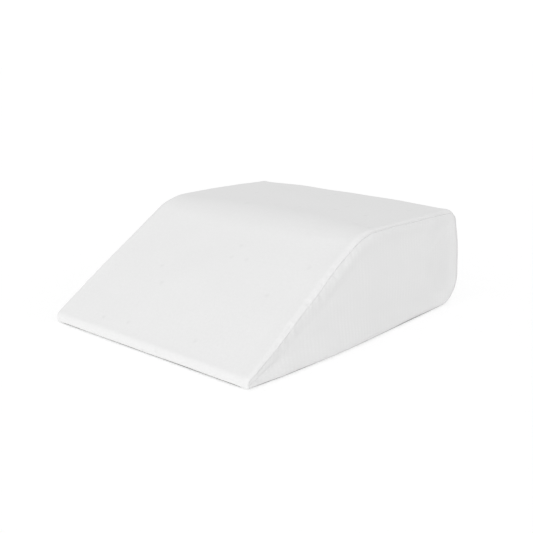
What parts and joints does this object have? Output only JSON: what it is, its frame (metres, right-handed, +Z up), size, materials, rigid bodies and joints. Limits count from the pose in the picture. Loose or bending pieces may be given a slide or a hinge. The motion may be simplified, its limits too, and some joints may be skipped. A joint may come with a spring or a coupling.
{
  "type": "leg rest wedge pillow",
  "caption": "Foam wedge pillow in a sewn white knit cover, with a long slope, a gentle knee bend and a near-level top, for raising the legs.",
  "frame": {"origin": "middle of the base, on the surface that the pillow lies on", "axes": "+Y from the thin front edge towards the tall back, +Z up, +X towards the right side seen from the thin edge"},
  "size_m": [0.5344, 0.6075, 0.2018],
  "materials": {
    "wrap_knit": "smooth brushed white knit, matt",
    "side_knit": "finely ribbed white knit, matt"
  },
  "bodies": {
    "root": {"cushion_body": "wrap_knit", "side_panel_right": "side_knit", "side_panel_left": "side_knit"}
  },
  "joints": []
}
